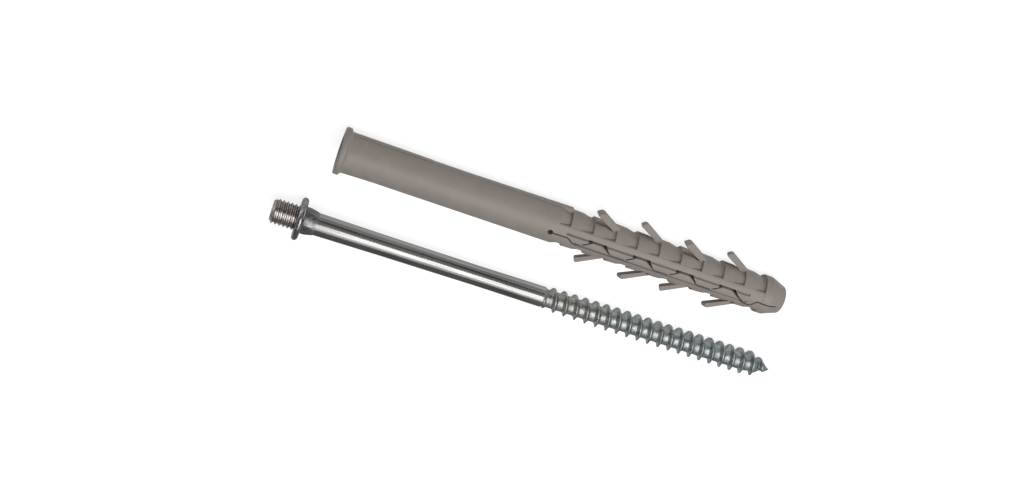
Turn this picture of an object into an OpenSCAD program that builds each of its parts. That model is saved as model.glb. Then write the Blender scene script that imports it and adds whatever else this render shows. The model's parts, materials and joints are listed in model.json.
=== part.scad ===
/* [Plug sleeve] */
// Length of the plug from its mouth to its tip
plug_l = 139.3; // [125:0.1:180]
// Outer diameter of the smooth sleeve
sleeve_d = 11.7; // [11:0.1:13]
// Outer diameter just behind the rim, where the sleeve flares
flare_d = 12.2; // [11.8:0.1:13.5]
// Length of the flare
flare_l = 12; // [6:0.5:20]
// Bore that guides the shank of the screw
bore_d = 8.3; // [7.6:0.1:8.8]
// Diameter of the rim at the mouth
rim_d = 14; // [13.6:0.1:18]
// Thickness of the rim
rim_t = 1.8; // [1:0.1:3]
// Radial size of the lead-in at the mouth of the bore
mouth_lead = 0.7; // [0.3:0.1:1.2]

/* [Plug expansion zone] */
// Distance from one barb wall to the next
barb_p = 6.94; // [6:0.01:8]
// Number of barb walls, the nose counted
barb_n = 10; // [8:2:12]
// Outer diameter over the barbs
barb_d = 11.4; // [10.8:0.1:11.8]
// Height of a barb wall
barb_h = 0.95; // [0.4:0.05:1.1]
// How far the back of a barb has sunk halfway to the next wall
barb_sink = 0.12; // [0:0.02:0.4]
// Height of the wall behind the nose
nose_h = 1.1; // [0.5:0.05:1.2]
// Width of the smooth rail on each side of the plug
rail_w = 6.3; // [5:0.1:8]
// Bore between the two legs
core_d = 5.2; // [4:0.1:6]
// Bore at the tip, where the point of the screw comes out
tip_bore_d = 4.2; // [3:0.1:5]
// Distance from the last barb wall to the tip
nose_l = 7.5; // [7:0.1:12]
// Length over which the nose tapers, its rounded end counted
nose_taper_l = 5; // [3:0.1:6.5]
// Diameter where the rounded end of the nose begins
nose_end_d = 8.7; // [8:0.1:10]
// Length of the rounded end
nose_round_l = 1; // [0.5:0.1:2]
// Diameter of the blunt tip
tip_d = 6; // [5:0.1:8]

/* [Plug slot] */
// Diameter of the hole where the slot begins
slot_hole_d = 1.5; // [1:0.1:2.5]
// Distance from that hole to the first barb wall
slot_lead = 5.1; // [3:0.1:8]
// Half the width of the band that the zigzag crosses
zigzag_half = 1.27; // [0.8:0.01:1.8]
// Width of the slot on the flanks and the straight runs
slot_w = 0.3; // [0.15:0.05:0.5]
// Width of the open gap over each tooth
gap_w = 0.4; // [0.25:0.05:0.5]
// Length of that gap
gap_l = 5.5; // [4.5:0.1:6]
// Length that a flank of a tooth takes along the plug
tooth_flank = 3; // [2:0.1:4]
// Width of the two shallow grooves beside the band
groove_w = 0.6; // [0.2:0.05:0.7]
// Depth of those grooves
groove_depth = 0.4; // [0.1:0.05:0.5]
// Distance from the end of the slot to the tip
slot_stop = 3.5; // [2.5:0.1:6]

/* [Plug fins] */
// Width of a fin across the plug
fin_w = 1.6; // [1.2:0.1:2.4]
// Thickness of the fins on the near leg, which the photograph shows thicker
fin_t_near = 1.7; // [1:0.05:1.8]
// Thickness of the fins on the far leg
fin_t_far = 1.25; // [0.8:0.05:1.8]
// Angle between a fin and the plug
fin_lean = 30; // [25:1:40]
// Distance from the middle of the plug to the end of a fin
fin_reach = 9.4; // [8:0.1:11]
// Distance from the middle of the plug to the root of a fin
fin_root = 4.9; // [4.6:0.1:5.2]
// Clearance between a fin and its pocket on each side
pocket_gap = 0.2; // [0.1:0.05:0.4]
// Depth of the pocket that a fin folds into, at the wall
pocket_depth = 1.7; // [1.2:0.1:1.9]
// Depth at its shallow end
pocket_start = 0.5; // [0.3:0.1:1]
// Length of that pocket
pocket_l = 9.6; // [8:0.1:12]

/* [Screw head end] */
// Diameter of the machine thread
stud_d = 7.9; // [7.6:0.1:8.2]
// Length of the machine thread
stud_l = 7.9; // [6:0.1:20]
// Chamfer at the end of the machine thread
stud_chamfer = 0.7; // [0.3:0.1:1]
// Diameter of the collar
collar_d = 13.5; // [12:0.1:18]
// Thickness of the collar
collar_t = 2; // [1.8:0.1:4]
// Radius of the rounded rim of the collar
collar_round = 1; // [0.5:0.1:1.2]
// Distance across the flats of the hexagonal neck
neck_flats = 7.4; // [7.1:0.1:8]
// Diameter over the corners of the neck, beside the collar
neck_d = 9.2; // [8.2:0.1:10]
// Diameter over the corners where the shank begins
neck_end_d = 7.6; // [7.5:0.1:8.2]
// Length of the neck
neck_l = 4; // [2:0.1:6]

/* [Screw shank and thread] */
// Diameter of the shank beside the neck
shank_d1 = 7.2; // [6.8:0.1:7.3]
// Diameter of the shank at its slender waist
shank_waist_d = 6.5; // [6.2:0.1:6.7]
// Distance from the neck to that waist
shank_waist_l = 52; // [20:1:60]
// Diameter of the shank where the wood thread begins
shank_end_d = 6.8; // [6.6:0.1:7.1]
// Length of the shank
shank_l = 74; // [65:1:90]
// Outer diameter of the wood thread
thread_d = 8.2; // [7.8:0.1:8.3]
// Diameter at the root of the wood thread
thread_root_d = 5.6; // [5:0.1:5.8]
// Distance from one turn of the wood thread to the next
thread_p = 3.6; // [3:0.1:4]
// Number of turns of the wood thread
thread_turns = 21.9; // [16:0.1:24]
// Outer diameter of the first turns of the wood thread
thread_start_d = 7.7; // [7.2:0.1:7.8]
// Number of turns over which the thread grows to its full diameter
thread_run_in = 6; // [2:1:12]
// Number of turns that taper to the point
point_turns = 2.2; // [2:0.1:4]
// Width of the crest of the wood thread
crest_w = 0.5; // [0.2:0.05:0.6]
// Length that one flank of the wood thread takes along the screw
flank_w = 0.85; // [0.7:0.05:1.2]

/* [How the pair lies] */
// Distance between the two axes
pair_gap = 36; // [24:1:60]
// How far the stud reaches back past the mouth of the plug
stud_back = 12.3; // [0:0.1:20]
// How far the fins of the plug are turned down from level
plug_roll = 18.7; // [0:0.1:25]

/* [Hidden] */
$fn = 64;
// Pieces of one solid share this much where they meet
slack = 0.01;
// A tool reaches this far past what it cuts
past = 1;
fin_corner = 0.4;
// The outer face of every fin meets its root this far past the wall
fin_past = 2.3;
// The inner face of a fin runs on into the wall
fin_sink = 1.4;
rim_chamfer = 0.3;
mouth_l = 1;
bore_end_taper = 9;
bore_end_gap = 9;
tip_bore_l = 10;
// Past the last tooth the slot dips below the band, then comes back to the middle
dip_in = 1.8;
dip_out = 2.2;
dip_l = 2.4;
dip_return_l = 1.7;
// The grooves end this far past the last but one wall
groove_past = 2;

nylon = [0.60, 0.57, 0.54];
zinc = [0.72, 0.74, 0.76];

sleeve_r = sleeve_d / 2;
barb_r = barb_d / 2;
core_r = core_d / 2;
first_wall = plug_l - nose_l - (barb_n - 1) * barb_p;
last_wall = plug_l - nose_l;
bore_end = first_wall - bore_end_gap;
nose_taper_x = plug_l - nose_taper_l;
nose_arc_x = plug_l - nose_round_l;

collar_x = stud_l;
neck_x = collar_x + collar_t;
shank_x = neck_x + neck_l;
thread_x = shank_x + shank_l;
thread_r = thread_d / 2;
thread_root_r = thread_root_d / 2;
thread_l = thread_turns * thread_p;
screw_l = thread_x + thread_l;
// The stud widens this much where it meets the collar
stud_root = 0.2;
// Sides of one turn of the wood thread
turn_sides = 24;
// The helix begins inside the shank and ends just short of the point
point_stub = 0.3;
helix_x = thread_x - thread_p - point_stub;
helix_turns = (screw_l - point_stub - helix_x) / thread_p;
// Where round the screw the helix begins
helix_start_angle = 113;
// The ridge of the thread sprouts and grows over its first turns
sprout_from = 0.6;
sprout_turns = 0.7;
// Radius of the blunt point, and how roundly root and crest close on it
point_r = 0.12;
root_round = 0.75;
crest_round = 0.7;
// The shank runs down into the root of the thread
shank_end_l = 1.2;
shank_end_drop = 0.3;

// The plug touches the floor with its rim and with its nose
plug_touch_a = [rim_t - rim_chamfer, rim_d / 2];
plug_touch_b = [nose_taper_x, sleeve_r];
// The screw touches it with its collar and with its last full turn
screw_touch_a = [collar_x + collar_t / 2, collar_d / 2];
screw_touch_b = [screw_l - (point_turns - 0.3) * thread_p, thread_r];

function tilt_of(a, b) = atan((a[1] - b[1]) / (b[0] - a[0]));
function lift_of(a, tilt) = a[1] * cos(tilt) + a[0] * sin(tilt);

plug_tilt = tilt_of(plug_touch_a, plug_touch_b);
plug_z = lift_of(plug_touch_a, plug_tilt);
screw_tilt = tilt_of(screw_touch_a, screw_touch_b);
screw_z = lift_of(screw_touch_a, screw_tilt);

// The middle of the pair, so that it lies round the origin
x_low = min(0, -stud_back);
x_high = max(plug_l * cos(plug_tilt), screw_l * cos(screw_tilt) - stud_back);
y_low = -pair_gap - collar_d / 2;
fin_side = fin_reach * cos(plug_roll) + fin_w * sin(plug_roll);
y_high = max(rim_d / 2, fin_side);
middle = [(x_low + x_high) / 2, (y_low + y_high) / 2, 0];

// Turns a profile of [distance along the axis, radius] about X
module lathe(points) {
    rotate([0, 90, 0])
        rotate_extrude()
            polygon([for (p = points) [p[1], p[0]]]);
}

// A drill along X, from a to b
module drill(a, b, d1, d2) {
    translate([a, 0, 0])
        rotate([0, 90, 0])
            cylinder(h = b - a, d1 = d1, d2 = d2);
}

// The outline of the plug, with a saw tooth for each barb
module plug_outline() {
    saw = [
        for (i = [0 : barb_n - 2])
            let (x = first_wall + i * barb_p)
                each [[x, barb_r - barb_h], [x, barb_r], [x + barb_p / 2, barb_r - barb_sink]]
    ];
    nose = [
        for (a = [0 : 30 : 90])
            [nose_arc_x + nose_round_l * sin(a), (tip_d + (nose_end_d - tip_d) * cos(a)) / 2]
    ];
    lathe(concat(
        [[0, 0], [0, rim_d / 2 - rim_chamfer], [rim_chamfer, rim_d / 2]],
        [[rim_t - rim_chamfer, rim_d / 2], [rim_t, rim_d / 2 - rim_chamfer]],
        [[rim_t, flare_d / 2], [rim_t + flare_l, sleeve_r], [first_wall - barb_p / 2, sleeve_r]],
        saw,
        [[last_wall, sleeve_r - nose_h], [last_wall, sleeve_r], [nose_taper_x, sleeve_r]],
        nose,
        [[plug_l, 0]]
    ));
}

// The smooth rails that carry the slot on the front and on the back
module rails() {
    start = first_wall - barb_p;
    intersection() {
        drill(start, last_wall + slack, sleeve_d, barb_d);
        translate([start - past, -rail_w / 2, -sleeve_d])
            cube([last_wall - start + 2 * past, rail_w, 2 * sleeve_d]);
    }
}

// The guide bore, its taper and the core between the legs
module plug_bore() {
    drill(-past, bore_end, bore_d, bore_d);
    drill(-slack, mouth_l, bore_d + 2 * mouth_lead, bore_d);
    drill(bore_end - slack, bore_end + bore_end_taper, bore_d, core_d);
    drill(bore_end, plug_l - tip_bore_l, core_d, core_d);
    drill(bore_end, plug_l + past, tip_bore_d, tip_bore_d);
}

// A straight run of the slot between two points, w wide
module run(a, b, w) {
    along = (b - a) / norm(b - a) * w / 2;
    across = [-along[1], along[0]];
    polygon([a - along - across, b + along - across, b + along + across, a - along + across]);
}

// A chain of runs through a list of points
module path(points, w) {
    for (i = [0 : len(points) - 2]) run(points[i], points[i + 1], w);
}

// The open gap over a tooth, widest at both of its corners
module tooth_gap(z) {
    polygon([
        [-gap_w, z],
        [gap_l - gap_w, z],
        [gap_l + 1.3, -z / 2],
        [gap_l + 1.1, -0.6 * z],
        [gap_l - 0.5, z - 2.5 * gap_w],
        [gap_l - 1.7, z - gap_w],
        [gap_l / 2, z - 0.75 * gap_w],
        [1, z - gap_w],
        [-1.7, -0.4 * z],
        [-0.1, 0.4 * z]
    ]);
}

// The zigzag that parts the two legs, seen from the front
module zigzag() {
    z = zigzag_half;
    jog = first_wall + slot_w;
    jog_flank = tooth_flank * 0.6;
    rise_foot = -0.85 * tooth_flank;
    fall_foot = gap_l + 0.6 * tooth_flank;
    // The flanks meet the gap a little below its top
    neck_y = z - 1.3 * gap_w;
    // The teeth of one leg start at every second wall
    tops = [for (i = [1 : 2 : barb_n - 3]) first_wall + i * barb_p];
    last_foot = [last_wall - barb_p + tooth_flank / 2, -dip_in];
    dip_x = last_foot[0] + dip_l;
    last = len(tops) - 1;
    path([[first_wall - slot_lead, 0], [jog, 0], [jog + jog_flank, -z], [tops[0] + rise_foot, -z]], slot_w);
    path([last_foot, [dip_x, -dip_out], [dip_x + dip_return_l, 0], [plug_l - slot_stop, 0]], slot_w);
    for (i = [0 : last]) {
        x = tops[i];
        foot = i == last ? last_foot : [x + fall_foot, -z];
        run([x + rise_foot, -z], [x + gap_w, neck_y], slot_w);
        run([x + gap_l - gap_w, neck_y], foot, slot_w);
        if (i < last) run(foot, [tops[i + 1] + rise_foot, -z], slot_w);
        translate([x, 0]) tooth_gap(z);
    }
    translate([first_wall - slot_lead, 0]) circle(d = slot_hole_d);
}

module slot() {
    translate([0, 0, -sleeve_d])
        linear_extrude(2 * sleeve_d)
            zigzag();
}

// Two shallow grooves beside the band, on the front and on the back
module grooves() {
    stop = last_wall - barb_p + groove_past;
    depth_z = sqrt(barb_r * barb_r - zigzag_half * zigzag_half) - groove_depth;
    for (side = [-1, 1], face = [0, 1]) {
        // Where the slot jogs aside, the groove begins past it
        jogs = side == (face == 0 ? -1 : 1);
        start = first_wall + (jogs ? 2 * slot_w + tooth_flank * 0.6 : -slot_w);
        rotate([180 * face, 0, 0])
            translate([start, side * zigzag_half - groove_w / 2, depth_z])
                cube([stop - start, groove_w, barb_d]);
    }
}

// Side view of one fin of thickness t, its root at the wall at x = 0
module fin_side_view(t) {
    slope = tan(fin_lean);
    wide = t / sin(fin_lean);
    foot = fin_past - wide;
    tip = foot - (fin_reach - fin_root) / slope;
    c = fin_corner;
    polygon([
        [foot + fin_sink, fin_root - fin_sink * slope],
        [tip + 2 * c / slope, fin_reach - 2 * c],
        [tip + 2 * c, fin_reach - c / 2],
        [tip + 4 * c, fin_reach],
        [tip + wide - c, fin_reach],
        [tip + wide + c / slope, fin_reach - c],
        [fin_past, fin_root],
        [fin_past, fin_root - fin_sink * slope]
    ]);
}

// End view of one fin, its tip narrowed so that it can't catch
module fin_end_view() {
    c = 1.1 * fin_corner;
    polygon([
        [0, core_r],
        [0, fin_reach - c],
        [c, fin_reach],
        [fin_w - c, fin_reach],
        [fin_w, fin_reach - c],
        [fin_w, core_r]
    ]);
}

module fin(t) {
    long = 3 * fin_reach;
    intersection() {
        linear_extrude(fin_w) fin_side_view(t);
        translate([long / 2, 0, 0])
            rotate([0, -90, 0])
                linear_extrude(long)
                    fin_end_view();
    }
}

// The wedge that a fin folds into, its deep end at the wall at x = 0
module pocket() {
    translate([0, 0, -pocket_gap])
        linear_extrude(fin_w + 2 * pocket_gap)
            polygon([
                [0, barb_r - pocket_depth],
                [0, barb_r + past],
                [-pocket_l, barb_r + past],
                [-pocket_l, barb_r - pocket_start]
            ]);
}

// Puts one child at the root of each fin of a leg, the far leg being half a turn from the near one
module at_fins(leg) {
    for (i = [2 : 2 : barb_n - 2]) {
        // Fins sit by turns in front of the parting plane and behind it
        behind = i % 4 == 0;
        rotate([180 * leg, 0, 0])
            translate([first_wall + i * barb_p, 0, behind ? -fin_w : 0])
                children();
    }
}

module plug_shape() {
    difference() {
        union() {
            difference() {
                plug_outline();
                for (leg = [0, 1]) at_fins(leg) pocket();
            }
            rails();
            at_fins(0) fin(fin_t_near);
            at_fins(1) fin(fin_t_far);
        }
        plug_bore();
        slot();
        grooves();
    }
}

module wall_plug() {
    color(nylon)
        translate([0, 0, plug_z] - middle)
            rotate([0, plug_tilt, 0])
                rotate([-plug_roll, 0, 0])
                    plug_shape();
}

// Stud, collar with its rounded rim, and shank, down to the thread
module screw_outline() {
    r = collar_round;
    mid = collar_x + collar_t / 2;
    rim = [
        for (a = [0 : 15 : 180])
            [mid - collar_t / 2 * cos(a), collar_d / 2 - r + r * sin(a)]
    ];
    lathe(concat(
        [[0, 0], [0, stud_d / 2 - stud_chamfer], [stud_chamfer, stud_d / 2]],
        [[collar_x - stud_root, stud_d / 2], [collar_x, stud_d / 2 + stud_root]],
        rim,
        [[neck_x, shank_d1 / 2], [shank_x, shank_d1 / 2]],
        [[shank_x + 0.4 * shank_waist_l, 0.2 * shank_d1 + 0.3 * shank_waist_d]],
        [[shank_x + shank_waist_l, shank_waist_d / 2], [thread_x, shank_end_d / 2]],
        [[thread_x + shank_end_l, thread_root_r - shank_end_drop], [thread_x + shank_end_l, 0]]
    ));
}

// The hexagonal neck, its corners turned down to a cone
module neck() {
    // It is rooted in the middle of the collar
    start = neck_x - collar_t / 2;
    slope = (neck_d - neck_end_d) / neck_l;
    intersection() {
        drill(start, shank_x, neck_d + slope * (neck_x - start), neck_end_d);
        translate([start, 0, 0])
            rotate([0, 90, 0])
                cylinder(h = shank_x - start, d = neck_flats / cos(30), $fn = 6);
    }
}

// How full the thread is after u turns, from nothing to one
function sprout(u) = min(1, max(0, (u - sprout_from) / sprout_turns));
function run_in(u) = min(1, max(0, (u - 1) / thread_run_in));
function run_out(u) = min(1, max(0, (helix_turns - u) / point_turns));

// Radius at the root and at the crest after u turns
function root_at(u) = point_r + (thread_root_r - point_r) * pow(run_out(u), root_round);
function crest_at(u) =
    let (
        start_r = thread_start_d / 2,
        grown = start_r + (thread_r - start_r) * run_in(u),
        full = max(grown * pow(run_out(u), crest_round), root_at(u))
    )
        root_at(u) + (full - root_at(u)) * sprout(u) + slack;

// One point of a lane: lanes 0 and 3 run along the root, 1 and 2 along the crest
function lane_point(lane, k) =
    let (
        u = k / turn_sides,
        a = 360 * u + helix_start_angle,
        r = lane == 0 || lane == 3 ? root_at(u) : crest_at(u),
        shift = [0, flank_w, flank_w + crest_w, 2 * flank_w + crest_w][lane]
    )
        [helix_x + u * thread_p + shift, r * cos(a), r * sin(a)];

module wood_thread() {
    last = floor(helix_turns * turn_sides) - turn_sides;
    lanes = 4;
    points = concat(
        [for (k = [0 : last], lane = [0 : lanes - 1]) lane_point(lane, k)],
        [for (k = [last + 1 : last + turn_sides]) lane_point(0, k)],
        [[helix_x - thread_p / 2, 0, 0], [screw_l, 0, 0]]
    );
    head = lanes * (last + 1) + turn_sides;
    tip = head + 1;
    function id(lane, k) = k <= last ? lanes * k + lane : lanes * (last + 1) + k - last - 1;
    side = [
        for (k = [0 : last - 1], lane = [0 : lanes - 2])
            each [
                [id(lane, k), id(lane + 1, k), id(lane + 1, k + 1)],
                [id(lane, k), id(lane + 1, k + 1), id(lane, k + 1)]
            ]
    ];
    // The root between one turn and the next
    between = [
        for (k = [0 : last - 1])
            each [
                [id(3, k), id(0, k + turn_sides), id(0, k + turn_sides + 1)],
                [id(3, k), id(0, k + turn_sides + 1), id(3, k + 1)]
            ]
    ];
    start_rim = concat(
        [for (k = [0 : turn_sides]) id(0, k)],
        [id(3, 0), id(2, 0), id(1, 0)]
    );
    end_rim = concat(
        [for (k = [last : last + turn_sides]) id(0, k)],
        [id(3, last), id(2, last), id(1, last)]
    );
    start_fan = [
        for (i = [0 : len(start_rim) - 1])
            [head, start_rim[i], start_rim[(i + 1) % len(start_rim)]]
    ];
    end_fan = [
        for (i = [0 : len(end_rim) - 1])
            [tip, end_rim[(i + 1) % len(end_rim)], end_rim[i]]
    ];
    polyhedron(points, concat(side, between, start_fan, end_fan), convexity = 10);
}

module screw() {
    color(zinc)
        translate([-stud_back, -pair_gap, screw_z] - middle)
            rotate([0, screw_tilt, 0]) {
                screw_outline();
                neck();
                wood_thread();
            }
}

wall_plug();
screw();
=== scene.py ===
import json
import math

import bmesh
import bpy
import numpy as np
from mathutils import Matrix, Vector


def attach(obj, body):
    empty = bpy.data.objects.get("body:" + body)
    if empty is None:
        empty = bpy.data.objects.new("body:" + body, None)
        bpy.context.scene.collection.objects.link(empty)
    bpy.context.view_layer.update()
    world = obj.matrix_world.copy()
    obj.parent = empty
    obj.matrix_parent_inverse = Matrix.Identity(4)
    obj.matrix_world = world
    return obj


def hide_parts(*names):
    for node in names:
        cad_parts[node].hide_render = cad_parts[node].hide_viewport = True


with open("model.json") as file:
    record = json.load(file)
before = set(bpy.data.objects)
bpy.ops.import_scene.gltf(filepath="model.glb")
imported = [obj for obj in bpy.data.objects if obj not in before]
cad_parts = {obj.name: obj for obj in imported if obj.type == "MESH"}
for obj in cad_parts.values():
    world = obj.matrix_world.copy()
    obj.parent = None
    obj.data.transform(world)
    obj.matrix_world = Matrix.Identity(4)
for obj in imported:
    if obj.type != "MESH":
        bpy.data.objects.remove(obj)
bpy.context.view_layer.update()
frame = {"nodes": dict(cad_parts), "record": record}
mounts = {mount["name"]: mount for mount in frame["record"]["mounts"]}
print("frame loaded:", sorted(frame["nodes"]))

# pieces are drawn in millimetres and put into the scene in metres
mm = 0.001


def addObject(name, data):
    made = bpy.data.objects.new(name, data)
    bpy.context.scene.collection.objects.link(made)
    return made


def meshFrom(name, points, faces):
    mesh = bpy.data.meshes.new(name)
    mesh.from_pydata([tuple(p) for p in points], [], faces)
    mesh.validate()
    bm = bmesh.new()
    bm.from_mesh(mesh)
    bmesh.ops.recalc_face_normals(bm, faces=bm.faces)
    bm.to_mesh(mesh)
    bm.free()
    return addObject(name, mesh)


# turns an outline of (x, radius) about X and closes both ends
def turned(name, outline, sides):
    points, faces = [], []
    for x, r in outline:
        for k in range(sides):
            a = 2 * math.pi * k / sides
            points.append((x, r * math.cos(a), r * math.sin(a)))
    lastRow = (len(outline) - 1) * sides
    for row in range(0, lastRow, sides):
        for k in range(sides):
            after = (k + 1) % sides
            faces.append((row + k, row + after, row + sides + after, row + sides + k))
    faces.append(tuple(range(sides)))
    faces.append(tuple(range(lastRow, lastRow + sides)))
    return meshFrom(name, points, faces)


# a flat outline given in two of the axes, pushed along the third; it may end as another outline
def prism(name, outline, low, high, axes="xy", other=None):
    place = ["xyz".index(axis) for axis in axes]
    up = 3 - sum(place)
    points = []
    for level, line in ((low, outline), (high, other or outline)):
        for p in line:
            point = [0, 0, 0]
            point[place[0]], point[place[1]], point[up] = p[0], p[1], level
            points.append(point)
    n = len(outline)
    faces = [tuple(range(n)), tuple(range(n, 2 * n))]
    faces += [(k, (k + 1) % n, n + (k + 1) % n, n + k) for k in range(n)]
    return meshFrom(name, points, faces)


def applyModifiers(piece):
    graph = bpy.context.evaluated_depsgraph_get()
    mesh = bpy.data.meshes.new_from_object(piece.evaluated_get(graph))
    old = piece.data
    piece.modifiers.clear()
    piece.data = mesh
    bpy.data.meshes.remove(old)


# joins, cuts or keeps the common part, and clears the tools away
def combine(piece, operation, *tools):
    for tool in tools:
        step = piece.modifiers.new("combine", "BOOLEAN")
        step.operation, step.solver, step.object = operation, "MANIFOLD", tool
    applyModifiers(piece)
    for tool in tools:
        bpy.data.objects.remove(tool)
    return piece


# one mesh out of several that don't touch
def gathered(name, pieces):
    bm = bmesh.new()
    for piece in pieces:
        bm.from_mesh(piece.data)
        bpy.data.objects.remove(piece)
    mesh = bpy.data.meshes.new(name)
    bm.to_mesh(mesh)
    bm.free()
    return addObject(name, mesh)


def arc(cx, cr, radius, start, end, steps):
    turn = [math.radians(start + (end - start) * k / steps) for k in range(steps + 1)]
    return [(cx + radius * math.cos(a), cr + radius * math.sin(a)) for a in turn]


# sharp edges stay sharp, the rest is shaded round
def shade(piece, angle):
    for face in piece.data.polygons:
        face.use_smooth = True
    piece.data.set_sharp_from_angle(angle=math.radians(angle))


# puts a drawn piece at its mount: X runs along it from its outer end, Z is its front
def lay(piece, look):
    mount = mounts[look["mount"]]
    along = -Vector(mount["axis"]).normalized()
    start = Vector(mount["pos_m"]) - along * (look["mountX"] * mm)
    side = Vector((0, 0, 1)).cross(along).normalized()
    turn = Matrix((along, side, along.cross(side))).transposed().to_4x4()
    roll = Matrix.Rotation(-math.radians(look["roll"]), 4, "X")
    piece.data.transform(Matrix.Translation(start) @ turn @ roll @ Matrix.Scale(mm, 4))


plugLook = {
    "mount": "guide_bore", "mountX": 30.5, "roll": 18.7,  # where it lies, and how far it is rolled
    "length": 139.3, "sides": 128,
    "rimRadius": 6.99, "rimThick": 1.8, "rimRound": 0.5, "fillet": 0.7,
    "flareRadius": 6.1, "flareLength": 12, "sleeveRadius": 5.85,
    "barbPitch": 6.94, "barbCount": 10, "barbRadius": 5.7, "barbHeight": 0.95,
    "barbBend": 0.5, "barbSink": 0.12,  # where a barb's back bends, by share of the pitch, and its depth there
    "wallStep": 0.02,  # lean of the barb walls along the plug
    "noseLength": 7.5, "noseHeight": 1.1, "noseTaper": 5.0,
    "noseEndRadius": 4.35, "noseRound": 1.0, "tipRadius": 3.0,
    "railWidth": 6.3,
    "boreRadius": 4.15, "mouthLead": 0.7, "boreEnd": 60, "boreSides": 96,
    "coreRadius": 2.6, "coreStart": 69.3, "coreEnd": 129.3, "tipBoreRadius": 2.1,
    # the slot runs one band below the middle, and one above it over each tooth
    "slotHole": 0.82, "slotLead": 5.1, "slotWidth": 0.42, "slotStop": 2.6, "band": 1.27,
    "gap": 0.4, "gapLength": 5.5, "toothFlank": 3.0,
    "dipIn": 1.8, "dipOut": 2.2, "dipLength": 2.4, "dipReturn": 1.7,
    "grooveWidth": 0.85, "grooveFoot": 0.25, "grooveDepth": 0.5, "groovePast": 2.8,
    # fins of each leg: thickness before and behind the parting plane, reach from the axis,
    # and the angles of the bar and of its end
    "nearFin": {"front": 1.7, "behind": 1.45, "reach": 9.79, "lean": 28.5, "past": 1.9, "end": 40},
    "farFin": {"front": 1.25, "behind": 1.25, "reach": 10.7, "lean": 29.5, "past": 2.3, "end": 60},
    "finWidth": 1.6, "finFlare": 2.5, "finSlant": 0.33, "finRoot": 4.9, "finSink": 1.4,
    "finCorner": 0.5, "finCornerPull": 0.35,
    "pocketStart": 0.5, "pocketDepth": 1.7, "behindDepth": 1.2, "pocketLength": 9.6, "pocketGap": 0.2,
    # start and end of each step of the seam, and how far it stands out at them
    "seams": [(4, 26, 0.3, 0.1), (40, 70, 0.05, 0.42)],
    "seamReach": 1.2, "seamLine": 0.22, "seamDepth": 0.16,  # the reach round the sleeve is in radians
    "lineWidth": 0.16, "lineDepth": 0.25, "lineLength": 3.3,
    "voxel": 0.12, "quickVoxel": 0.24, "triangles": 150000, "sharpAngle": 40,
}


def plugOutline(look, firstWall, lastWall):
    length, sleeve, barb, pitch = look["length"], look["sleeveRadius"], look["barbRadius"], look["barbPitch"]
    rim, thick, rimRound, fillet = look["rimRadius"], look["rimThick"], look["rimRound"], look["fillet"]
    outline = [(0, 0.5)]
    outline += arc(rimRound, rim - rimRound, rimRound, 180, 90, 6)
    outline += arc(thick - rimRound, rim - rimRound, rimRound, 90, 0, 6)
    outline += arc(thick + fillet, look["flareRadius"] + fillet, fillet, 180, 270, 6)
    for k in range(1, 9):
        t = k / 8
        outline.append((thick + fillet + t * look["flareLength"],
                        sleeve + (look["flareRadius"] - sleeve) * (1 - t) ** 2))
    outline.append((firstWall - pitch / 2, sleeve))
    for k in range(look["barbCount"] - 1):
        x = firstWall + k * pitch
        outline += [(x, barb - look["barbHeight"]), (x + look["wallStep"], barb)]
        outline.append((x + look["barbBend"] * pitch, barb - look["barbSink"]))
    outline += [(lastWall, sleeve - look["noseHeight"]), (lastWall + look["wallStep"], sleeve)]
    outline.append((length - look["noseTaper"], sleeve))
    for k in range(7):
        a = math.radians(15 * k)
        outline.append((length - look["noseRound"] * (1 - math.sin(a)),
                        look["tipRadius"] + (look["noseEndRadius"] - look["tipRadius"]) * math.cos(a)))
    outline.append((length, 0.5))
    return outline


# seen from the front a pocket is a wedge, deepest at its wall
def pocket(look, wall, low, high, leg, behind):
    top, deep = look["barbRadius"], look["behindDepth"] if behind else look["pocketDepth"]
    start = wall - look["pocketLength"]
    outline = [(wall, top - deep), (wall, top + 1), (start, top + 1), (start, top - look["pocketStart"])]
    return prism("pocket", [(x, y * leg) for x, y in outline], low, high)


def unit(x, y, length):
    return x * length / math.hypot(x, y), y * length / math.hypot(x, y)


# a leaning bar, a little thicker at its blunt end, its inner face run on into the wall
def fin(look, wall, low, high, leg, behind):
    bar = look["nearFin"] if leg == 1 else look["farFin"]
    lean, past, thick = bar["lean"], bar["past"], bar["behind" if behind else "front"]
    slope, steep = math.tan(math.radians(lean)), math.tan(math.radians(lean + look["finFlare"]))
    blunt, c, pull = math.tan(math.radians(bar["end"])), look["finCorner"], look["finCornerPull"]
    root, sink = look["finRoot"], look["finSink"]
    foot = past - thick / math.sin(math.radians(lean))

    def outline(level):
        # the front of the end slants back, as the fins fold into a round hole
        top = bar["reach"] - look["finSlant"] * max(0, level)
        back = past - (top - root) / steep
        # the inner corner, where the end meets the inner face
        tipX = (slope * foot + root - top + blunt * back) / (slope + blunt)
        tipY = root + slope * (foot - tipX)
        # both corners of the end are cut by c along each of their faces
        inward, outward, across = unit(1, -slope, c), unit(1, -steep, c), unit(1, blunt, c)
        side = [(foot + sink, root - sink * slope), (tipX + inward[0], tipY + inward[1]),
                (tipX + pull * (inward[0] + across[0]), tipY + pull * (inward[1] + across[1])),
                (tipX + across[0], tipY + across[1]), (back - across[0], top - across[1]),
                (back + pull * (outward[0] - across[0]), top + pull * (outward[1] - across[1])),
                (back + outward[0], top + outward[1]), (past, root), (past, root - sink * slope)]
        return [(wall + x, y * leg) for x, y in side]

    return prism("fin", outline(low), low, high, other=outline(high))


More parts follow.
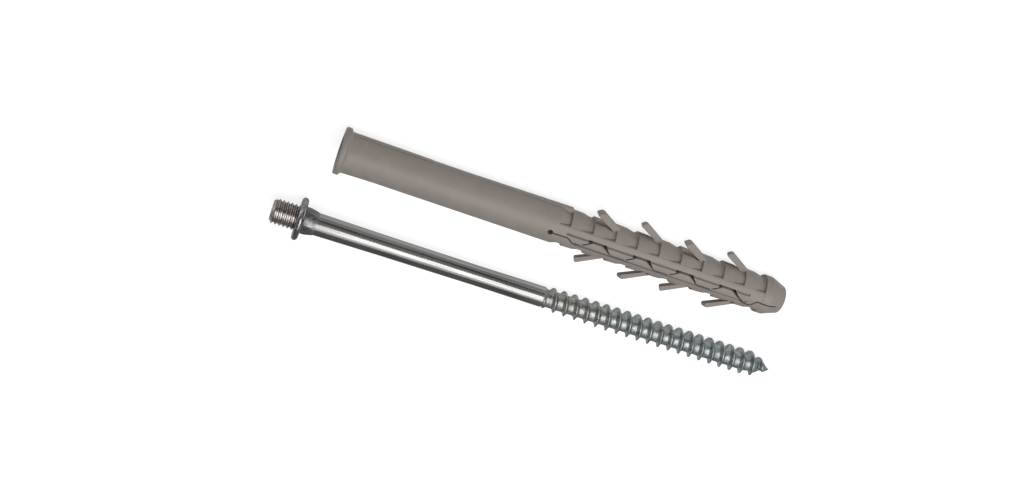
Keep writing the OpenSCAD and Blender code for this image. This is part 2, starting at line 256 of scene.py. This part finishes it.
# the back half of the sleeve stands out a little along the near side,
# as the halves of the mould don't quite meet
def seamSteps(look, firstWall):
    r = look["sleeveRadius"]
    inset = 0.999 * r

    def half(out):
        turn = np.linspace(0, look["seamReach"], 15)
        return [(inset * math.cos(a) + out, -inset * math.sin(a)) for a in turn] + [(0, -r * 0.4), (0, 0)]

    return [prism("seam", half(first), start, min(end, firstWall), axes="yz", other=half(last))
            for start, end, first, last in look["seams"]]


def plugBody(look):
    lastWall = look["length"] - look["noseLength"]
    firstWall = lastWall - (look["barbCount"] - 1) * look["barbPitch"]
    body = turned("nylonPlug", plugOutline(look, firstWall, lastWall), look["sides"])

    # pockets and fins, by turns before and behind the parting plane;
    # the far leg is half a turn from the near one
    pockets, fins = [], []
    for leg in (1, -1):
        for k in range(2, look["barbCount"] - 1, 2):
            wall = firstWall + k * look["barbPitch"]
            behind = (k % 4 == 0) == (leg == 1)
            low, high = (-look["finWidth"], 0) if behind else (0, look["finWidth"])
            gap = look["pocketGap"]
            pockets.append(pocket(look, wall, low - gap, high if behind else high + gap, leg, behind))
            fins.append(fin(look, wall, low, high, leg, behind))
    combine(body, "DIFFERENCE", *pockets)

    # the rails carry the slot on the front and on the back
    start, end, half = firstWall - look["barbPitch"], lastWall + 0.05, look["railWidth"] / 2
    rails = turned("rails", [(start, look["sleeveRadius"]), (end, look["barbRadius"])], look["sides"])
    start, end = start - 1, lastWall + 1
    box = prism("box", [(start, -half), (end, -half), (end, half), (start, half)], -9, 9)
    combine(rails, "INTERSECT", box)
    combine(body, "UNION", rails, *fins, *seamSteps(look, firstWall))
    return body, firstWall, lastWall


# rounds the body a little all over, as a moulding is, before the sharp cuts
def soften(body, voxel, triangles):
    step = body.modifiers.new("soften", "REMESH")
    step.mode, step.voxel_size, step.use_smooth_shade = "VOXEL", voxel, True
    applyModifiers(body)
    step = body.modifiers.new("even", "SMOOTH")
    step.factor, step.iterations = 0.5, 2
    applyModifiers(body)
    count = len(body.data.polygons) * 2
    step = body.modifiers.new("thin", "DECIMATE")
    step.ratio = min(1, triangles / count)
    applyModifiers(body)
    print("plug softened:", count, "to", len(body.data.polygons))


# the runs of the slot from the hole to the nose, seen from the front, and the start of each tooth
def slotRuns(look, firstWall, lastWall):
    z, gap, far, flank = look["band"], look["gap"], look["gapLength"], look["toothFlank"]
    jog = firstWall + look["slotWidth"]
    rise, fall, neck = -0.85 * flank, far + 0.6 * flank, z - 1.3 * gap
    tops = [firstWall + k * look["barbPitch"] for k in range(1, look["barbCount"] - 2, 2)]
    foot = (lastWall - look["barbPitch"] + flank / 2, -look["dipIn"])
    dip, stop = foot[0] + look["dipLength"], look["length"] - look["slotStop"]
    runs = [[(firstWall - look["slotLead"], 0), (jog, 0), (jog + 0.6 * flank, -z), (tops[0] + rise, -z)],
            [foot, (dip, -look["dipOut"]), (dip + look["dipReturn"], 0), (stop, 0)]]
    for k, x in enumerate(tops):
        runs.append([(x + rise, -z), (x + gap, neck)])
        down = [(x + fall, -z), (tops[k + 1] + rise, -z)] if k < len(tops) - 1 else [foot]
        runs.append([(x + far - gap, neck), *down])
    return runs, tops


# the open gap over a tooth, widest at both of its corners
def toothGap(look, x):
    z, gap, far = look["band"], look["gap"], look["gapLength"]
    outline = [(-gap, z), (far - gap, z), (far + 1.3, -z / 2), (far + 1.1, -0.6 * z),
               (far - 0.5, z - 2.5 * gap), (far - 1.7, z - gap), (far / 2, z - 0.75 * gap),
               (1, z - gap), (-1.7, -0.4 * z), (-0.1, 0.4 * z)]
    return [(x + u, y) for u, y in outline]


# a strip of even width along a line that always runs forward
def strip(line, width):
    upper, lower = [], []
    for k, p in enumerate(line):
        before = Vector(line[max(k - 1, 0)])
        after = Vector(line[min(k + 1, len(line) - 1)])
        here = Vector(p)
        a = (here - before).normalized() if k else (after - here).normalized()
        b = (after - here).normalized() if k < len(line) - 1 else a
        normal = Vector((-(a + b).y, (a + b).x)).normalized()
        reach = width / 2 / max(0.5, normal.dot(Vector((-a.y, a.x))))
        upper.append(here + normal * reach)
        lower.append(here - normal * reach)
    return [tuple(p) for p in upper] + [tuple(p) for p in reversed(lower)]


# the fine line beside the rails where the back of each barb dips below them
def wallLines(look, firstWall):
    lines = []
    clear = 8
    inner, outer = look["railWidth"] / 2, look["railWidth"] / 2 + look["lineWidth"]
    low = look["barbRadius"] - look["barbHeight"]
    deep = math.sqrt(low ** 2 - inner ** 2) - look["lineDepth"]
    shallow = math.sqrt((look["barbRadius"] - look["barbSink"]) ** 2 - outer ** 2) - 0.05
    for k in range(look["barbCount"]):
        wall = firstWall + k * look["barbPitch"]
        start = wall - look["lineLength"]
        for side in (-1, 1):
            for face in (-1, 1):
                outline = [(start, shallow), (wall, deep), (wall, clear), (start, clear)]
                levels = sorted((side * inner, side * outer))
                lines.append(prism("line", [(x, z * face) for x, z in outline], *levels, axes="xz"))
    return lines


# a V-shaped groove with a narrow floor along each side of the slot, on the front and on the back
def grooves(look, firstWall, lastWall, clear):
    made = []
    z, wide, foot = look["band"], look["grooveWidth"] / 2, look["grooveFoot"] / 2
    surface = math.sqrt(look["barbRadius"] ** 2 - z ** 2)
    floor = surface - look["grooveDepth"]
    end = lastWall - look["barbPitch"] + look["groovePast"]
    for side in (-1, 1):
        # the lower groove begins past the jog of the slot
        before = -look["slotWidth"]
        past = 2 * look["slotWidth"] + 0.6 * look["toothFlank"]
        start, y = firstWall + (past if side < 0 else before), side * z
        for face in (-1, 1):
            across = [(y - foot, floor * face), (y + foot, floor * face), (y + wide, surface * face),
                      (y + wide, clear * face), (y - wide, clear * face), (y - wide, surface * face)]
            made.append(prism("groove", across, start, end, axes="yz"))
    return made


def cutPlug(look, body, firstWall, lastWall):
    clear = 9
    runs, tops = slotRuns(look, firstWall, lastWall)
    cutters = [prism("slot", strip(line, look["slotWidth"]), -clear, clear) for line in runs]
    cutters += [prism("gap", toothGap(look, x), -clear, clear) for x in tops]
    holeX, hole = firstWall - look["slotLead"], look["slotHole"]
    ring = [(holeX + hole * math.cos(a), hole * math.sin(a)) for a in np.linspace(0, 2 * math.pi, 33)[:-1]]
    cutters.append(prism("slotHole", ring, -clear, clear))
    cutters += grooves(look, firstWall, lastWall, clear)
    cutters.append(gathered("lines", wallLines(look, firstWall)))
    r, top = look["sleeveRadius"] - look["seamDepth"], 7
    for start, end, *_ in look["seams"]:
        end = min(end, firstWall)
        line = [(start, r + look["seamDepth"]), (end, r), (end, top), (start, top)]
        cutters.append(prism("seamLine", line, 0, look["seamLine"]))
    mouth, bore = look["mouthLead"], look["boreRadius"]
    core, tipBore = look["coreRadius"], look["tipBoreRadius"]
    outline = [(-1, bore + mouth + 1), (0, bore + mouth), (1, bore), (look["boreEnd"], bore),
               (look["coreStart"], core), (look["coreEnd"], core), (look["coreEnd"] + 0.05, tipBore),
               (look["length"] - 0.3, tipBore), (look["length"] + 1, tipBore + 1.3)]
    cutters.append(turned("bore", outline, look["boreSides"]))
    combine(body, "DIFFERENCE", *cutters)


plug, firstWall, lastWall = plugBody(plugLook)
soften(plug, plugLook["voxel"], plugLook["triangles"])
cutPlug(plugLook, plug, firstWall, lastWall)
shade(plug, plugLook["sharpAngle"])
lay(plug, plugLook)
print("plug built:", len(plug.data.polygons), "faces")


screwLook = {
    "mount": "stud", "mountX": 4.2, "roll": 0, "sides": 96, "sharpAngle": 30,
    "studRadius": 3.95, "studLength": 7.9, "studChamfer": 1.0,
    "studPitch": 1.25, "studRoot": 3.42, "studRidge": 0.92,  # the ridge's width is a share of the pitch
    "collarRadius": 6.75, "collarThick": 2.0, "collarRound": 1.0,
    "neckFlats": 7.4, "neckRadius": 4.6, "neckLength": 4.0, "neckEndRadius": 3.65,
    "shankStart": 3.54, "shankWaist": 3.18, "waistLength": 52, "shankEnd": 3.33, "shankLength": 74,
    "threadPitch": 3.6, "threadTurns": 21.9, "threadRadius": 4.1, "threadRoot": 2.8, "threadFirst": 3.75,
    "runIn": 6, "pointTurns": 2.2,  # turns until the crest is full, and turns over which the point tapers
    "ridge": 2.2, "stub": 0.3, "startAngle": 113, "sproutFrom": 0.6, "sproutTurns": 0.7,
    "point": 0.12, "rootRound": 0.75, "crestRound": 0.7,
    "coreInset": 0.3,  # how far the core lies inside the root of each thread where they join
}
# height of each ridge across its width, from foot to foot
ridgeProfile = [(0, 0), (0.09, 0.05), (0.18, 0.2), (0.27, 0.46), (0.36, 0.78), (0.41, 0.95), (0.46, 1),
                (0.54, 1), (0.59, 0.95), (0.64, 0.78), (0.73, 0.46), (0.82, 0.2), (0.91, 0.05), (1, 0)]
studProfile = [(0, 0), (0.06, 0.04), (0.36, 0.88), (0.42, 1), (0.58, 1), (0.64, 0.88), (0.94, 0.04), (1, 0)]


# a ridge wound round X with a root between its turns; the last turn is a single line of points
def woundSolid(name, start, turns, pitch, width, profile, rootAt, crestAt, sides, angle, headX, tipX):
    lanes = len(profile)
    last = int(turns * sides) - sides

    def place(lane, k):
        u = k / sides
        share, height = profile[lane]
        r = rootAt(u) + (crestAt(u) - rootAt(u)) * height
        a = 2 * math.pi * u + math.radians(angle)
        return (start + u * pitch + share * width, r * math.cos(a), r * math.sin(a))

    points = [place(lane, k) for k in range(last + 1) for lane in range(lanes)]
    points += [place(0, k) for k in range(last + 1, last + sides + 1)]
    head, tip = len(points), len(points) + 1
    points += [(headX, 0, 0), (tipX, 0, 0)]

    def spot(lane, k):
        return lanes * k + lane if k <= last else lanes * (last + 1) + k - last - 1

    faces = []
    for k in range(last):
        for lane in range(lanes - 1):
            faces.append((spot(lane, k), spot(lane + 1, k), spot(lane + 1, k + 1), spot(lane, k + 1)))
        faces.append((spot(lanes - 1, k), spot(0, k + sides), spot(0, k + sides + 1), spot(lanes - 1, k + 1)))
    for centre, k0 in ((head, 0), (tip, last)):
        edge = [spot(0, k0 + k) for k in range(sides + 1)]
        edge += [spot(lane, k0) for lane in range(lanes - 1, 0, -1)]
        faces += [(centre, edge[k], edge[(k + 1) % len(edge)]) for k in range(len(edge))]
    return meshFrom(name, points, faces)


def clamp(v):
    return min(1, max(0, v))


# collar and shank in one turned piece, with a stub inside each thread
def screwCore(look, collarX, neckX, shankX, threadX):
    mid, ring = look["collarThick"] / 2, look["collarRadius"] - look["collarRound"]
    start, waist, end = look["shankStart"], look["shankWaist"], look["shankEnd"]
    inset = look["coreInset"]
    inner = look["studRoot"] - inset
    outline = [(collarX - 1, inner), (collarX, inner), (collarX, look["studRadius"] + 0.4)]
    for k in range(13):
        a = math.radians(15 * k)
        outline.append((collarX + mid - mid * math.cos(a), ring + look["collarRound"] * math.sin(a)))
    waistLength = look["waistLength"]
    outline += [(neckX, start), (shankX, start), (shankX + 0.4 * waistLength, 0.4 * start + 0.6 * waist),
                (shankX + waistLength, waist), (threadX - 0.3, end - 0.01), (threadX, end - 0.08),
                (threadX + 1.2, look["threadRoot"] - inset)]
    return turned("hangerScrew", outline, look["sides"])


# hexagonal neck, its corners turned down to a cone and rooted in the collar
def screwNeck(look, neckX, shankX):
    root = look["collarThick"] / 2
    start = neckX - root
    slope = (look["neckRadius"] - look["neckEndRadius"]) / look["neckLength"]
    outline = [(start, look["neckRadius"] + slope * root), (shankX, look["neckEndRadius"])]
    cone = turned("cone", outline, look["sides"])
    corner = look["neckFlats"] / math.sqrt(3)
    turns = [math.radians(60 * k) for k in range(6)]
    hexagon = [(corner * math.cos(a), corner * math.sin(a)) for a in turns]
    neck = prism("neck", hexagon, start - 0.01, shankX + 0.01, axes="yz")
    return combine(neck, "INTERSECT", cone)


# machine thread, trimmed to its chamfer
def studThread(look, collarX):
    p, r, chamfer = look["studPitch"], look["studRadius"], look["studChamfer"]
    turns = look["studLength"] / p + 4
    wound = woundSolid("stud", -2 * p, turns, p, look["studRidge"] * p, studProfile,
                       lambda u: look["studRoot"], lambda u: r, look["sides"], 0, -3 * p, turns * p)
    outline = [(0, r - chamfer), (chamfer, r + 0.01), (collarX + 0.5, r + 0.01)]
    return combine(wound, "INTERSECT", turned("trim", outline, look["sides"]))


def woodThread(look, threadX):
    p = look["threadPitch"]
    endX = threadX + look["threadTurns"] * p
    start = threadX - p - look["stub"]
    turns = (endX - look["stub"] - start) / p

    def runOut(u):
        return clamp((turns - u) / look["pointTurns"])

    def rootAt(u):
        return look["point"] + (look["threadRoot"] - look["point"]) * runOut(u) ** look["rootRound"]

    def crestAt(u):
        first = look["threadFirst"]
        grown = first + (look["threadRadius"] - first) * clamp((u - 1) / look["runIn"])
        full = max(grown * runOut(u) ** look["crestRound"], rootAt(u))
        return rootAt(u) + (full - rootAt(u)) * clamp((u - look["sproutFrom"]) / look["sproutTurns"]) + 0.01

    return woundSolid("thread", start, turns, p, look["ridge"], ridgeProfile, rootAt, crestAt,
                      look["sides"], look["startAngle"], start - p / 2, endX)


def buildScrew(look):
    collarX = look["studLength"]
    neckX = collarX + look["collarThick"]
    shankX = neckX + look["neckLength"]
    threadX = shankX + look["shankLength"]
    body = screwCore(look, collarX, neckX, shankX, threadX)
    neck = screwNeck(look, neckX, shankX)
    return combine(body, "UNION", studThread(look, collarX), neck, woodThread(look, threadX))


screw = buildScrew(screwLook)
shade(screw, screwLook["sharpAngle"])
lay(screw, screwLook)
print("screw built:", len(screw.data.polygons), "faces")


def node(tree, kind, inputs=None, **settings):
    made = tree.nodes.new(kind)
    for key, value in settings.items():
        setattr(made, key, value)
    for key, value in (inputs or {}).items():
        if isinstance(value, bpy.types.NodeSocket):
            tree.links.new(value, made.inputs[key])
        else:
            made.inputs[key].default_value = value
    return made


def newMaterial(name):
    material = bpy.data.materials.new(name)
    material.use_nodes = True
    material.node_tree.nodes.clear()
    return material, material.node_tree


def principled(tree, inputs):
    shader = node(tree, "ShaderNodeBsdfPrincipled", inputs)
    node(tree, "ShaderNodeOutputMaterial", {"Surface": shader.outputs[0]})


def calc(tree, operation, *values):
    return node(tree, "ShaderNodeMath", dict(enumerate(values)), operation=operation).outputs[0]


def mapped(tree, value, low, high, toLow=0.0, toHigh=1.0):
    ends = {"From Min": low, "From Max": high, "To Min": toLow, "To Max": toHigh}
    return node(tree, "ShaderNodeMapRange", {"Value": value, **ends}).outputs[0]


def blended(tree, share, a, b):
    return node(tree, "ShaderNodeMix", {"Factor": share, "A": a, "B": b}).outputs["Result"]


def noise(tree, where, scale, detail, rough=0.5):
    inputs = {"Vector": where, "Scale": scale, "Detail": detail, "Roughness": rough}
    return node(tree, "ShaderNodeTexNoise", inputs).outputs["Fac"]


def bumped(tree, height, strength, distance):
    inputs = {"Height": height, "Strength": strength, "Distance": distance}
    return node(tree, "ShaderNodeBump", inputs).outputs[0]


def ramp(tree, value, stops):
    made = node(tree, "ShaderNodeValToRGB", {"Fac": value})
    elements = made.color_ramp.elements
    while len(elements) < len(stops):
        elements.new(0.5)
    for element, (place, colour) in zip(elements, stops):
        element.position = place
        element.color = (*colour, 1)
    return made.outputs["Color"]


# colour of a list of (place, colour) stops, whose places may lie in any range
def coloured(tree, value, stops):
    low, high = stops[0][0], stops[-1][0]
    share = mapped(tree, value, low, high)
    return ramp(tree, share, [((place - low) / (high - low), colour) for place, colour in stops])


# the same for plain values, all of them below two
def stepped(tree, value, stops):
    halved = coloured(tree, value, [(place, (v / 2,) * 3) for place, v in stops])
    return calc(tree, "MULTIPLY", halved, 2.0)


nylonLook = {
    "shade": (0.274, 0.237, 0.210), "light": (0.306, 0.266, 0.238), "rough": (0.47, 0.58), "ior": 1.53,
    "mottle": 260, "grain": 2600, "bump": 0.000012, "bumpStrength": 0.5,
}


def nylon(look):
    material, tree = newMaterial("nylon")
    where = node(tree, "ShaderNodeTexCoord").outputs["Object"]
    mottle = noise(tree, where, look["mottle"], 4.0, 0.55)
    grain = noise(tree, where, look["grain"], 3.0, 0.6)
    principled(tree, {
        "Base Color": ramp(tree, mottle, [(0.3, look["shade"]), (0.7, look["light"])]),
        "Roughness": mapped(tree, mottle, 0.0, 1.0, *look["rough"]),
        "Normal": bumped(tree, grain, look["bumpStrength"], look["bump"]),
        "IOR": look["ior"],
    })
    return material


zincLook = {
    # tint of the plating and its roughness along the screw, by X in metres
    "tints": [(-0.083, (0.47, 0.44, 0.42)), (-0.0757, (0.44, 0.41, 0.395)),  # stud
              (-0.0750, (0.31, 0.298, 0.298)), (-0.0735, (0.31, 0.298, 0.298)),  # collar
              (-0.0732, (0.262, 0.254, 0.256)), (-0.0705, (0.262, 0.254, 0.256)),  # neck
              (-0.0692, (0.300, 0.294, 0.290)), (-0.005, (0.308, 0.308, 0.302)),  # shank
              (0.012, (0.430, 0.430, 0.405)), (0.034, (0.420, 0.452, 0.446)), (0.083, (0.392, 0.426, 0.438))],
    "rough": [(-0.083, 0.28), (-0.0757, 0.28), (-0.0753, 0.18), (-0.0737, 0.18), (-0.0732, 0.40),
              (-0.0695, 0.40), (-0.0691, 0.19), (0.0035, 0.19), (0.0055, 0.46)],
    "uneven": (-0.04, 0.06),  # how much less and more rough the clouds make it
    # painted reflection: share of the tint by height over the axis, in radii of the shank, low in bands of
    # painted dark reflection and high in a painted highlight under the lamp; on the drawn shank, on the rolled
    # thread, and on the stud, collar and neck
    "shank": [(-0.5, 1.0), (-0.3, 0.92), (-0.125, 0.82), (0.05, 0.42), (0.235, 0.62), (0.385, 1.6),
              (0.52, 1.35), (0.7, 1.0)],
    "thread": [(-0.5, 0.72), (0.3, 0.66), (0.5, 0.95), (0.65, 1.08), (0.95, 1.08), (1.1, 0.95)],
    "head": [(-1.2, 0.8), (0.1, 0.55), (0.45, 0.72), (0.7, 1.35), (1.0, 1.35), (1.25, 0.95)],
    "edge": (0.45, 0.45, 0.46, 1),
    # darkest and lightest share of the tint in the drawn lines and in the clouds
    "streak": (0.62, 1.0), "streakScale": 1500.0, "streakStretch": 0.02,
    "cloud": (0.52, 1.15), "cloudScale": 1300.0,
    "grainScale": 3400.0, "bump": 0.00005, "bumpStrength": 0.45,
    "neckEnd": -0.0693, "threadStart": 0.004,
    "axisStart": -0.079158, "axisHeight": 0.006831, "fall": 0.01755, "shankRadius": 0.0033,
}


# height over the screw's axis, which falls a little along it, in radii of the shank
def heightOverAxis(tree, look, x, z):
    offset = -look["axisStart"] * look["fall"] - look["axisHeight"]
    fallen = calc(tree, "MULTIPLY_ADD", x, look["fall"], offset)
    return calc(tree, "DIVIDE", calc(tree, "ADD", z, fallen), look["shankRadius"])


def zinc(look):
    material, tree = newMaterial("zinc")
    where = node(tree, "ShaderNodeTexCoord").outputs["Object"]
    split = node(tree, "ShaderNodeSeparateXYZ", {"Vector": where})
    x, height = split.outputs["X"], heightOverAxis(tree, look, split.outputs["X"], split.outputs["Z"])
    onHead = mapped(tree, x, look["neckEnd"] + 0.0003, look["neckEnd"] - 0.0003)
    onThread = mapped(tree, x, look["threadStart"] - 0.0005, look["threadStart"] + 0.0015)
    rolled = calc(tree, "MAXIMUM", onHead, onThread)

    # drawn lines along the shank, and small clouds of dull plating on the rolled parts
    stretch = node(tree, "ShaderNodeMapping", {"Vector": where, "Scale": (look["streakStretch"], 1.0, 1.0)})
    streaks = noise(tree, stretch.outputs[0], look["streakScale"], 3.0, 0.55)
    clouds = noise(tree, where, look["cloudScale"], 4.0, 0.65)
    grain = noise(tree, where, look["grainScale"], 2.0)
    darkLines = mapped(tree, streaks, 0.36, 0.56, *look["streak"])
    darkClouds = mapped(tree, clouds, 0.36, 0.62, *look["cloud"])

    # painted reflection: the tint is darkened and lightened by height over the axis, in fixed bands that stand
    # for the reflected room and the lamp's highlight
    level = blended(tree, onHead, stepped(tree, height, look["shank"]), stepped(tree, height, look["head"]))
    level = blended(tree, onThread, level, stepped(tree, height, look["thread"]))
    # random drawn lines and dull clouds of plating, times the painted reflection bands
    dullAndPaintedReflection = calc(tree, "MULTIPLY", blended(tree, rolled, darkLines, darkClouds), level)
    scaled = {0: coloured(tree, x, look["tints"]), "Scale": dullAndPaintedReflection}
    uneven = mapped(tree, clouds, 0.3, 0.7, *look["uneven"])
    relief = blended(tree, rolled, streaks, grain)
    principled(tree, {
        "Base Color": node(tree, "ShaderNodeVectorMath", scaled, operation="SCALE").outputs["Vector"],
        "Metallic": 1.0,
        "Specular Tint": look["edge"],
        "Roughness": calc(tree, "ADD", stepped(tree, x, look["rough"]), uneven),
        "Normal": bumped(tree, relief, look["bumpStrength"], look["bump"]),
    })
    return material


def dress(piece, material, nodeName):
    piece.data.materials.clear()
    piece.data.materials.append(material)
    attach(piece, "root")
    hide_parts(nodeName)


dress(plug, nylon(nylonLook), "wall_plug")
dress(screw, zinc(zincLook), "screw")
print("materials set")


# the floor is a grey that the camera sees as white: lift is what it adds for the eye and for the metal
floorLook = {"radius": 6.0, "drop": 0.00003, "colour": 0.44, "lift": 0.80, "world": 0.25}
lampLook = {
    "core": {"size": (0.65, 0.5), "distance": 0.72, "elevation": 59.5, "along": 0.2, "glow": 3.4},
    "over": {"size": (0.9, 0.25), "distance": 0.75, "elevation": 90, "along": 0.3, "glow": 1.3},
}
cameraLook = {
    "aim": (-0.0104, -0.00892, 0.0), "azimuth": 193.436, "elevation": 39.079, "distance": 0.42433,
    "roll": -169.665, "lens": 48.448, "sensor": 36,
}


def makeFloor(look):
    bm = bmesh.new()
    bmesh.ops.create_circle(bm, cap_ends=True, segments=96, radius=look["radius"])
    mesh = bpy.data.meshes.new("floor")
    bm.to_mesh(mesh)
    bm.free()
    floor = addObject("floor", mesh)
    floor.location.z = -look["drop"]
    material, tree = newMaterial("palePaper")
    paper = node(tree, "ShaderNodeBsdfDiffuse", {"Color": (look["colour"],) * 3 + (1,)})
    path = node(tree, "ShaderNodeLightPath").outputs
    seen = calc(tree, "MAXIMUM", path["Is Camera Ray"], path["Is Glossy Ray"])
    seen = calc(tree, "MAXIMUM", seen, path["Is Transmission Ray"])
    lift = calc(tree, "MULTIPLY", seen, look["lift"])
    glow = node(tree, "ShaderNodeEmission", {"Color": (1, 1, 1, 1), "Strength": lift})
    both = node(tree, "ShaderNodeAddShader", {0: paper.outputs[0], 1: glow.outputs[0]})
    node(tree, "ShaderNodeOutputMaterial", {"Surface": both.outputs[0]})
    mesh.materials.append(material)


def makeLamp(name, look):
    light = bpy.data.lights.new(name, "AREA")
    light.shape, light.size, light.size_y = "RECTANGLE", *look["size"]
    light.energy = look["glow"] * math.pi * light.size * light.size_y
    lamp = addObject(name, light)
    e, distance = math.radians(look["elevation"]), look["distance"]
    lamp.location = Vector((look["along"], math.cos(e) * distance, math.sin(e) * distance))
    lamp.rotation_euler = (e - math.pi / 2, 0, 0)
    lamp.visible_camera = False


def makeCamera(look):
    a, e = math.radians(look["azimuth"]), math.radians(look["elevation"])
    back = Vector((math.sin(a) * math.cos(e), -math.cos(a) * math.cos(e), math.sin(e)))
    right = (-back).cross(Vector((0, 0, 1))).normalized()
    turn = Matrix((right, back.cross(right), back)).transposed().to_4x4()
    data = bpy.data.cameras.new("camera")
    data.lens, data.sensor_width = look["lens"], look["sensor"]
    data.clip_start, data.clip_end = 0.01, 20
    camera = addObject("camera", data)
    spot = Matrix.Translation(Vector(look["aim"]) + back * look["distance"])
    camera.matrix_world = spot @ turn @ Matrix.Rotation(math.radians(look["roll"]), 4, "Z")
    bpy.context.scene.camera = camera


def makeWorld(strength):
    world = bpy.data.worlds.new("room")
    world.use_nodes = True
    background = world.node_tree.nodes["Background"]
    background.inputs["Color"].default_value = (1, 1, 1, 1)
    background.inputs["Strength"].default_value = strength
    bpy.context.scene.world = world


makeFloor(floorLook)
for name, look in lampLook.items():
    makeLamp(name, look)
makeCamera(cameraLook)
makeWorld(floorLook["world"])
bpy.context.scene.view_settings.view_transform = "Standard"
print("floor, lamps and camera set")
